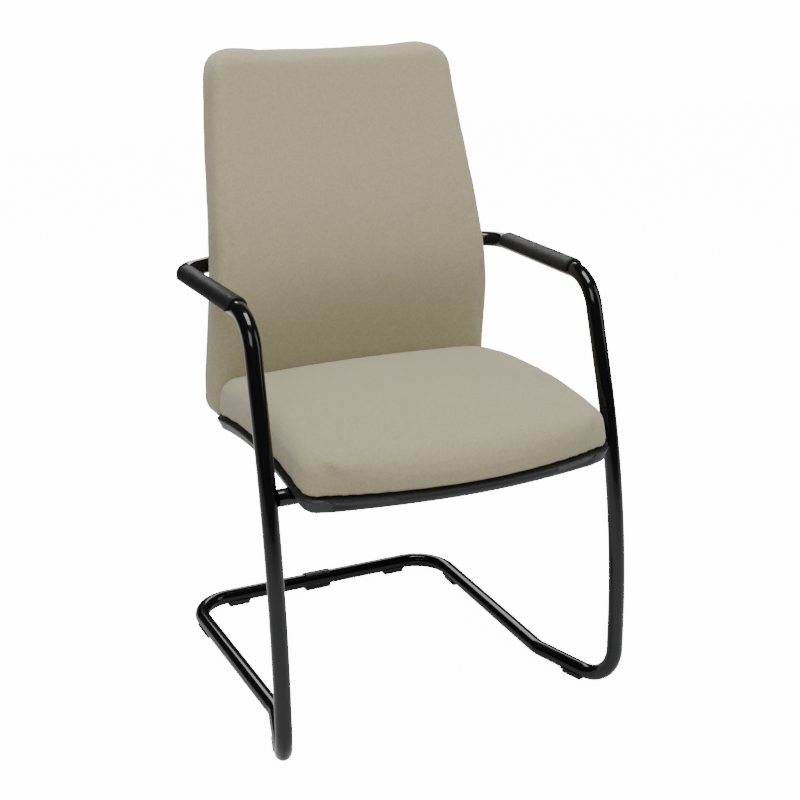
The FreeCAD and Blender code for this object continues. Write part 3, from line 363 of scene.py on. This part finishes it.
def smooth_curve(places, values):
    """A natural cubic spline through values, as a function."""
    places, values = np.array(places), np.array(values)
    count = len(places)
    gaps = np.diff(places)
    slopes = np.diff(values) / gaps
    system = np.eye(count)
    known = np.zeros(count)
    for i in range(1, count - 1):
        system[i, i - 1:i + 2] = (gaps[i - 1], 2 * (gaps[i - 1] + gaps[i]), gaps[i])
        known[i] = 6 * (slopes[i] - slopes[i - 1])
    bends = np.linalg.solve(system, known)

    def value(place):
        i = int(np.clip(np.searchsorted(places, place) - 1, 0, count - 2))
        left, right = places[i + 1] - place, place - places[i]
        gap = gaps[i]
        return float(
            (bends[i] * left**3 + bends[i + 1] * right**3) / (6 * gap)
            + (values[i] / gap - bends[i] * gap / 6) * left
            + (values[i + 1] / gap - bends[i + 1] * gap / 6) * right
        )

    return value


back_reach = smooth_curve(BACK_HEIGHTS, BACK_REACHES)
back_depth = smooth_curve(BACK_HEIGHTS, BACK_DEPTHS)
back_half = np.polyfit(*zip(*BACK_WIDTHS), 2)


def end_round(radius, gap):
    """How far a rounded edge of this radius draws in, at a gap from its end."""
    inside = radius - min(max(gap, 0.0), radius)
    return radius - math.sqrt(radius**2 - inside**2)


def corner_points(corner, inward_a, inward_b, radius, steps):
    """Points of a rounded corner in plan, from the a side to the b side."""
    points = []
    for i in range(steps + 1):
        angle = math.pi / 2 * i / steps
        along_a = radius * (1 - math.sin(angle))
        along_b = radius * (1 - math.cos(angle))
        points.append((
            corner[0] + inward_a[0] * along_a + inward_b[0] * along_b,
            corner[1] + inward_a[1] * along_a + inward_b[1] * along_b,
        ))
    return points


def back_ring(height, shrink, corner_steps=8, across_steps=24):
    """A level section of the back as (x, reach, height) points, counter to the clock from above."""
    low, high = BACK_HEIGHTS[0] + shrink, BACK_HEIGHTS[-1] - shrink
    gap = min(height - low, high - height)
    front_in = shrink + end_round(BACK_FRONT_EDGE, gap)
    rear_in = shrink + end_round(BACK_REAR_EDGE, gap)
    half = float(np.polyval(back_half, height)) - shrink
    half -= end_round(BACK_BOTTOM_CORNER, height - low) + end_round(BACK_TOP_CORNER, high - height)
    reach, depth = back_reach(height), back_depth(height)

    def face_reach(x, behind):
        radius = BACK_CURVE + behind
        return reach + BACK_CURVE - math.sqrt(radius**2 - x**2)

    thick = depth - front_in - rear_in
    front_edge, rear_edge = min(BACK_FRONT_EDGE, thick * 0.5), min(BACK_REAR_EDGE, thick * 0.45)
    ring = []
    span = half - front_edge
    for i in range(across_steps + 1):
        x = -span + 2 * span * i / across_steps
        ring.append((x, face_reach(x, front_in)))
    corner = (half, face_reach(span, front_in))
    ring += corner_points(corner, (-1, 0), (0, -1), front_edge, corner_steps)[1:]
    span = half - rear_edge
    corner = (half, face_reach(span, depth - rear_in))
    ring += corner_points(corner, (0, 1), (-1, 0), rear_edge, corner_steps)
    for i in range(1, across_steps + 1):
        x = span - 2 * span * i / across_steps
        ring.append((x, face_reach(x, depth - rear_in)))
    corner = (-half, face_reach(span, depth - rear_in))
    ring += corner_points(corner, (1, 0), (0, 1), rear_edge, corner_steps)[1:]
    span = half - front_edge
    corner = (-half, face_reach(span, front_in))
    ring += corner_points(corner, (0, -1), (1, 0), front_edge, corner_steps)[:-1]
    rise = (height - BACK_DIP_START) / (BACK_HEIGHTS[-1] - BACK_DIP_START)
    dip = BACK_TOP_DIP * max(0.0, rise) ** 2
    return [(x, y, height - dip * (1 - (x / max(half, 1.0)) ** 2)) for x, y in ring]


def ends_and_middle(low, high, end_run, end_steps, step):
    """Levels from low to high, dense near both ends where an edge rounds off."""
    shares = [1 - math.cos(math.pi / 2 * i / end_steps) for i in range(end_steps)]
    count = round((high - low - 2 * end_run) / step)
    middle = [low + end_run + (high - low - 2 * end_run) * i / count for i in range(count + 1)]
    ending = [high - end_run * share for share in reversed(shares)]
    return [low + end_run * share for share in shares] + middle + ending


def add_loft(name, rings, across=24):
    """A closed mesh through rings of equal counts. Each starts with its run across the middle."""
    points = [at(*point) for ring in rings for point in ring]
    size = len(rings[0])
    faces = []
    for i in range(len(rings) - 1):
        for j in range(size):
            k = (j + 1) % size
            faces.append((i * size + j, i * size + k, (i + 1) * size + k, (i + 1) * size + j))
    side = size // 2 - across - 1
    far = across + 1 + side
    for first in (0, (len(rings) - 1) * size):
        for i in range(across):
            opposite = first + far + across - i
            faces.append((first + i, first + i + 1, opposite - 1, opposite))
        faces.append(tuple(first + i for i in range(across, far + 1)))
        faces.append(tuple(first + i for i in range(far + across, size)) + (first,))
    piece = add_mesh(name, points, faces)
    face_outwards(piece)
    return piece


def plump(piece):
    """Remeshes a pad evenly, blows it up a little as cloth and holds each point near its start."""
    limit = PAD_SWELL * MM
    remesh = piece.modifiers.new("even", "REMESH")
    remesh.mode = "VOXEL"
    remesh.voxel_size = PAD_VOXEL
    evaluated = piece.evaluated_get(bpy.context.evaluated_depsgraph_get())
    mesh = bpy.data.meshes.new_from_object(evaluated)
    piece.modifiers.remove(remesh)
    piece.data = mesh
    start = np.empty(len(mesh.vertices) * 3)
    mesh.vertices.foreach_get("co", start)
    cloth = piece.modifiers.new("cloth", "CLOTH")
    cloth.settings.quality = 4
    cloth.settings.mass = 0.3
    cloth.settings.tension_stiffness = CLOTH_STIFFNESS
    cloth.settings.compression_stiffness = CLOTH_STIFFNESS
    cloth.settings.bending_stiffness = 2
    cloth.settings.use_pressure = True
    cloth.settings.uniform_pressure_force = PAD_PRESSURE
    cloth.settings.effector_weights.gravity = 0.0
    scene = bpy.context.scene
    for step in range(1, SWELL_STEPS + 1):
        scene.frame_set(step)
    evaluated = piece.evaluated_get(bpy.context.evaluated_depsgraph_get())
    blown = bpy.data.meshes.new_from_object(evaluated)
    piece.modifiers.remove(cloth)
    moved = np.empty(len(blown.vertices) * 3)
    blown.vertices.foreach_get("co", moved)
    shift = (moved - start).reshape(-1, 3)
    length = np.linalg.norm(shift, axis=1, keepdims=True)
    shift *= np.minimum(1.0, limit / np.maximum(length, 1e-9))
    mesh.vertices.foreach_set("co", (start.reshape(-1, 3) + shift).ravel())
    mesh.update()
    scene.frame_set(1)
    relax = piece.modifiers.new("relax", "SMOOTH")
    relax.factor = 0.5
    relax.iterations = 1
    finer = piece.modifiers.new("finer", "SUBSURF")
    finer.levels = 1
    finer.render_levels = 1
    evaluated = piece.evaluated_get(bpy.context.evaluated_depsgraph_get())
    mesh = bpy.data.meshes.new_from_object(evaluated)
    piece.modifiers.clear()
    piece.data = mesh
    piece.data.shade_smooth()


def woven_group():
    """A fine plain weave with slubs: a height and a tone from 0 to 1."""
    group, start, end = new_group(
        "woven_cloth", "ShaderNodeTree",
        [
            ("Thread pitch", "NodeSocketFloat", THREAD_PITCH),
            ("Mottle size", "NodeSocketFloat", MOTTLE_SIZE),
        ],
        [("Height", "NodeSocketFloat"), ("Tone", "NodeSocketFloat")],
    )
    add = group.nodes.new
    link = group.links.new

    def math_node(operation, first, second=None, fixed=None):
        node = add("ShaderNodeMath")
        node.operation = operation
        link(first, node.inputs[0])
        if second is not None:
            link(second, node.inputs[1])
        if fixed is not None:
            node.inputs[1].default_value = fixed
        return node.outputs[0]

    place = add("ShaderNodeTexCoord")
    split = add("ShaderNodeSeparateXYZ")
    link(place.outputs["Object"], split.inputs[0])
    turn = add("ShaderNodeMath")
    turn.operation = "DIVIDE"
    turn.inputs[0].default_value = math.tau
    link(start.outputs["Thread pitch"], turn.inputs[1])
    rise = math_node("ADD", split.outputs["Y"], split.outputs["Z"])
    fall = math_node("SUBTRACT", split.outputs["Y"], split.outputs["Z"])
    lean = math_node("MULTIPLY", fall, fixed=0.6)
    warp_place = math_node("ADD", split.outputs["X"], lean)
    warp = math_node("SINE", math_node("MULTIPLY", warp_place, turn.outputs[0]))
    weft = math_node("SINE", math_node("MULTIPLY", rise, turn.outputs[0]))
    threads = math_node("MULTIPLY", warp, weft)
    mottle_scale = add("ShaderNodeMath")
    mottle_scale.operation = "DIVIDE"
    mottle_scale.inputs[0].default_value = 1.0
    link(start.outputs["Mottle size"], mottle_scale.inputs[1])
    mottle = add("ShaderNodeTexNoise")
    mottle.inputs["Detail"].default_value = 5.0
    mottle.inputs["Roughness"].default_value = 0.65
    link(place.outputs["Object"], mottle.inputs["Vector"])
    link(mottle_scale.outputs[0], mottle.inputs["Scale"])
    half_threads = math_node("MULTIPLY", threads, fixed=0.12)
    tone = math_node("ADD", mottle.outputs["Fac"], half_threads)
    height = math_node("ADD", math_node("MULTIPLY", threads, fixed=0.35), mottle.outputs["Fac"])
    link(height, end.inputs["Height"])
    link(tone, end.inputs["Tone"])
    return group


woven = woven_group()


def cloth_material(name, dark, light):
    material = bpy.data.materials.new(name)
    material.use_nodes = True
    tree = material.node_tree
    shader = tree.nodes["Principled BSDF"]
    weave = tree.nodes.new("ShaderNodeGroup")
    weave.node_tree = woven
    weave.inputs["Thread pitch"].default_value = THREAD_PITCH
    weave.inputs["Mottle size"].default_value = MOTTLE_SIZE
    tones = tree.nodes.new("ShaderNodeValToRGB")
    tones.color_ramp.elements[0].position = 0.3
    tones.color_ramp.elements[1].position = 0.7
    tones.color_ramp.elements[0].color = (*dark, 1.0)
    tones.color_ramp.elements[1].color = (*light, 1.0)
    bump = tree.nodes.new("ShaderNodeBump")
    bump.inputs["Distance"].default_value = 0.0004
    bump.inputs["Strength"].default_value = 0.5
    tree.links.new(weave.outputs["Tone"], tones.inputs["Fac"])
    tree.links.new(tones.outputs["Color"], shader.inputs["Base Color"])
    tree.links.new(weave.outputs["Height"], bump.inputs["Height"])
    tree.links.new(bump.outputs["Normal"], shader.inputs["Normal"])
    shader.inputs["Roughness"].default_value = 0.92
    shader.inputs["Sheen Weight"].default_value = 0.25
    shader.inputs["Sheen Roughness"].default_value = 0.5
    shader.inputs["Specular IOR Level"].default_value = 0.2
    return material


taupe_cloth = cloth_material("taupe_cloth", *CLOTH_TONES)
back_levels = ends_and_middle(BACK_HEIGHTS[0], BACK_HEIGHTS[-1], BACK_END_RUN, 9, LEVEL_STEP)
back_pad = add_loft("back_pad", [back_ring(level, PAD_SWELL) for level in back_levels])
plump(back_pad)
back_pad.data.materials.append(taupe_cloth)
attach(back_pad, "root")
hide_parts("back_cushion", "back_rear_cover")


# Seat cushion: moulded foam under the same cover, crowned both ways, with a soft waterfall front
# edge and sides that draw in a little towards the top. The cover is stapled under the board.

SEAT_FRONT_HALF, SEAT_REAR_HALF = 248.8, 241.5
SEAT_FRONT_REACH, SEAT_SIDE_FRONT_REACH, SEAT_REAR_REACH = 616.5, 579.0, 163.0
SEAT_FRONT_CORNER, SEAT_REAR_CORNER = 36.0, 46.0
SEAT_EDGE, SEAT_HEM, SEAT_DRAW_IN = 24.0, 5.0, 4.0
SEAT_END_RUN = 40.0
# Where the cloth ends and the top of the foam: peak reach, peak height, radii along and across.
TRIM = (378.0, 457.4, 920.0, 2700.0)
TOP = (370.0, 513.0, 880.0, 4000.0)


def crowned(surface, x, reach):
    """The height of a surface given as (peak reach, peak height, radius along, radius across)."""
    peak_reach, peak_height, along, across = surface
    fall = along - math.sqrt(along**2 - (reach - peak_reach) ** 2)
    return peak_height - fall - (across - math.sqrt(across**2 - x**2))


def seat_ring(station, shrink, corner_steps=8, across_steps=24, side_steps=4):
    """A section across the seat at a side reach, bowed forward in its middle."""
    front, rear = SEAT_SIDE_FRONT_REACH - shrink, SEAT_REAR_REACH + shrink
    share = (station - SEAT_REAR_REACH) / (SEAT_SIDE_FRONT_REACH - SEAT_REAR_REACH)
    half = SEAT_REAR_HALF + (SEAT_FRONT_HALF - SEAT_REAR_HALF) * share - shrink
    half -= end_round(SEAT_FRONT_CORNER, front - station)
    half -= end_round(SEAT_REAR_CORNER, station - rear)
    lead = (SEAT_FRONT_REACH - SEAT_SIDE_FRONT_REACH) * max(share, 0.0) ** 2
    gap = min(front - station, station - rear)
    sunk = shrink + end_round(SEAT_EDGE, gap)
    lifted = shrink + end_round(SEAT_HEM, gap)

    def reach_at(x):
        return station + lead * (1 - (x / half) ** 2)

    def top(x):
        return crowned(TOP, x, reach_at(x)) - sunk

    def trim(x):
        return crowned(TRIM, x, reach_at(x)) + lifted

    top_half = half - SEAT_DRAW_IN
    edge = min(SEAT_EDGE, (top(top_half) - trim(half)) * 0.6)
    ring = []
    span = top_half - edge
    for i in range(across_steps + 1):
        x = -span + 2 * span * i / across_steps
        ring.append((x, reach_at(x), top(x)))
    right = corner_points((top_half, top(span)), (-1, 0), (0, -1), edge, corner_steps)[1:]
    low_end = (half, trim(half - SEAT_HEM) + SEAT_HEM)
    for i in range(1, side_steps):
        share = i / side_steps
        height = right[corner_steps - 1][1] * (1 - share) + low_end[1] * share
        right.append((top_half + (half - top_half) * share, height))
    right += corner_points((half, low_end[1] - SEAT_HEM), (0, 1), (-1, 0), SEAT_HEM, 4)
    ring += [(x, station, z) for x, z in right]
    span = half - SEAT_HEM
    for i in range(1, across_steps):
        x = span - 2 * span * i / across_steps
        ring.append((x, reach_at(x), trim(x)))
    ring += [(-x, station, z) for x, z in reversed(right)]
    return ring


seat_levels = ends_and_middle(SEAT_REAR_REACH, SEAT_SIDE_FRONT_REACH, SEAT_END_RUN, 9, LEVEL_STEP)
seat_pad = add_loft("seat_pad", [seat_ring(level, PAD_SWELL) for level in seat_levels])
plump(seat_pad)
seat_pad.data.materials.append(taupe_cloth)
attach(seat_pad, "root")
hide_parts("seat_cushion")


# Seat pan: the moulded black polypropylene shell below the seat. Its rim covers the tucked edge of
# the cloth, and its wall draws in downwards, deeper at the corners than in the middle.

PAN_DEPTH, PAN_CORNER_EXTRA, PAN_RIM = 17.0, 2.5, 1.5
PAN_DRAW_IN, PAN_EDGE = 6.0, 5.0
PAN_PROUD, PAN_LIP, PAN_END_RUN = 0.2, 3.0, 12.0
shell_plastic = coated_material(
    "shell_plastic", (0.018, 0.018, 0.020), 0.45, 0.1, 0.0009, 0.00008
)


def pan_ring(station, across_steps=24, corner_steps=6):
    """A section across the pan at a side reach, bowed forward as the seat is."""
    front, rear = SEAT_SIDE_FRONT_REACH, SEAT_REAR_REACH
    share = (station - rear) / (front - rear)
    half = SEAT_REAR_HALF + (SEAT_FRONT_HALF - SEAT_REAR_HALF) * share + PAN_PROUD
    half -= end_round(SEAT_FRONT_CORNER, front - station)
    half -= end_round(SEAT_REAR_CORNER, station - rear)
    lead = (SEAT_FRONT_REACH - SEAT_SIDE_FRONT_REACH) * max(share, 0.0) ** 2
    gap = min(front - station, station - rear)
    lifted = PAN_DRAW_IN * max(0.0, 1.0 - gap / PAN_END_RUN) + end_round(PAN_EDGE, gap)

    def reach_at(x):
        return station + lead * (1 - (x / half) ** 2)

    def rim(x):
        return crowned(TRIM, x, reach_at(x)) + PAN_RIM

    def floor_height(x):
        depth = PAN_DEPTH + PAN_CORNER_EXTRA * (x / SEAT_FRONT_HALF) ** 2
        return crowned(TRIM, x, reach_at(x)) - depth + lifted

    ring = []
    for i in range(across_steps + 1):
        x = -half + 2 * half * i / across_steps
        ring.append((x, reach_at(x), rim(x)))
    low_half = half - PAN_DRAW_IN
    span = low_half - PAN_EDGE
    right = [(half, rim(half) - PAN_LIP)]
    right += corner_points((low_half, floor_height(span)), (0, 1), (-1, 0), PAN_EDGE, corner_steps)
    ring += [(x, station, z) for x, z in right]
    for i in range(1, across_steps):
        x = span - 2 * span * i / across_steps
        ring.append((x, reach_at(x), floor_height(x)))
    ring += [(-x, station, z) for x, z in reversed(right)]
    return ring


seat_pan = add_loft("seat_pan", [pan_ring(level) for level in seat_levels])
seat_pan.data.materials.append(shell_plastic)
seat_pan.data.shade_smooth()
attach(seat_pan, "root")
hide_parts("seat_shell")


# Floor, light and camera: a pale studio floor under large soft lights, seen from the front left.

FLOOR_HALF = 6.0
BACKDROP_GLOW = 14.0
STUDIO_GLOW = 0.45
MIRRORED_GLOW = 0.04
# Each soft light: name, place, aim, width, height and power.
LIGHTS = (
    ("key", (-1.6, -2.2, 2.6), (0, 0, 0.5), 1.6, 1.6, 34),
    ("above", (0, -0.2, 2.8), (0, -0.1, 0.5), 1.2, 1.2, 52),
    ("fill", (2.4, -1.4, 1.8), (0, 0, 0.5), 1.2, 2.0, 16),
    ("rim", (0.6, 2.6, 2.2), (0, 0, 0.6), 2.0, 1.0, 35),
)
CAMERA_PLACE = (-0.88628, -1.91095, 1.16599)
CAMERA_DOWN, CAMERA_TURN = 18.63, -25.52
CAMERA_LENS = 63.97

floor_signs = ((-1, -1), (1, -1), (1, 1), (-1, 1))
floor_points = [(x * FLOOR_HALF, y * FLOOR_HALF, 0) for x, y in floor_signs]
floor = add_mesh("studio_floor", floor_points, [(0, 1, 2, 3)])
floor_paint = bpy.data.materials.new("studio_floor")
floor_paint.use_nodes = True
floor_shader = floor_paint.node_tree.nodes["Principled BSDF"]
floor_shader.inputs["Base Color"].default_value = (0.86, 0.86, 0.86, 1.0)
floor_shader.inputs["Roughness"].default_value = 0.8
floor_shader.inputs["Emission Color"].default_value = (1.0, 1.0, 1.0, 1.0)


def seen_glow(tree, seen, unseen, mirrored):
    """A strength for light seen straight, one for light that falls, and one for reflections."""
    path = tree.nodes.new("ShaderNodeLightPath")
    falling = tree.nodes.new("ShaderNodeMapRange")
    falling.inputs["To Min"].default_value = unseen
    falling.inputs["To Max"].default_value = mirrored
    strength = tree.nodes.new("ShaderNodeMapRange")
    strength.inputs["To Max"].default_value = seen
    tree.links.new(path.outputs["Is Glossy Ray"], falling.inputs["Value"])
    tree.links.new(falling.outputs["Result"], strength.inputs["To Min"])
    tree.links.new(path.outputs["Is Camera Ray"], strength.inputs["Value"])
    return strength.outputs["Result"]


floor_glow = seen_glow(floor_paint.node_tree, BACKDROP_GLOW, 0.0, 0.0)
floor_paint.node_tree.links.new(floor_glow, floor_shader.inputs["Emission Strength"])
floor.data.materials.append(floor_paint)

world = bpy.data.worlds.new("studio")
world.use_nodes = True
backdrop = world.node_tree.nodes["Background"]
backdrop.inputs["Color"].default_value = (1.0, 1.0, 1.0, 1.0)
world_glow = seen_glow(world.node_tree, BACKDROP_GLOW + 1.0, STUDIO_GLOW, MIRRORED_GLOW)
world.node_tree.links.new(world_glow, backdrop.inputs["Strength"])
bpy.context.scene.world = world


def add_light(name, place, aim, width, height, power):
    light = bpy.data.lights.new(name, "AREA")
    light.shape = "RECTANGLE"
    light.size = width
    light.size_y = height
    light.energy = power
    holder = bpy.data.objects.new(name, light)
    holder.location = place
    holder.rotation_euler = (Vector(aim) - Vector(place)).to_track_quat("-Z", "Y").to_euler()
    bpy.context.scene.collection.objects.link(holder)


for light_values in LIGHTS:
    add_light(*light_values)

camera = bpy.data.cameras.new("photo_view")
camera.lens = CAMERA_LENS
camera.sensor_width = 36.0
camera_holder = bpy.data.objects.new("photo_view", camera)
camera_holder.location = CAMERA_PLACE
camera_holder.rotation_euler = (math.radians(90 - CAMERA_DOWN), 0.0, math.radians(CAMERA_TURN))
bpy.context.scene.collection.objects.link(camera_holder)
bpy.context.scene.camera = camera_holder
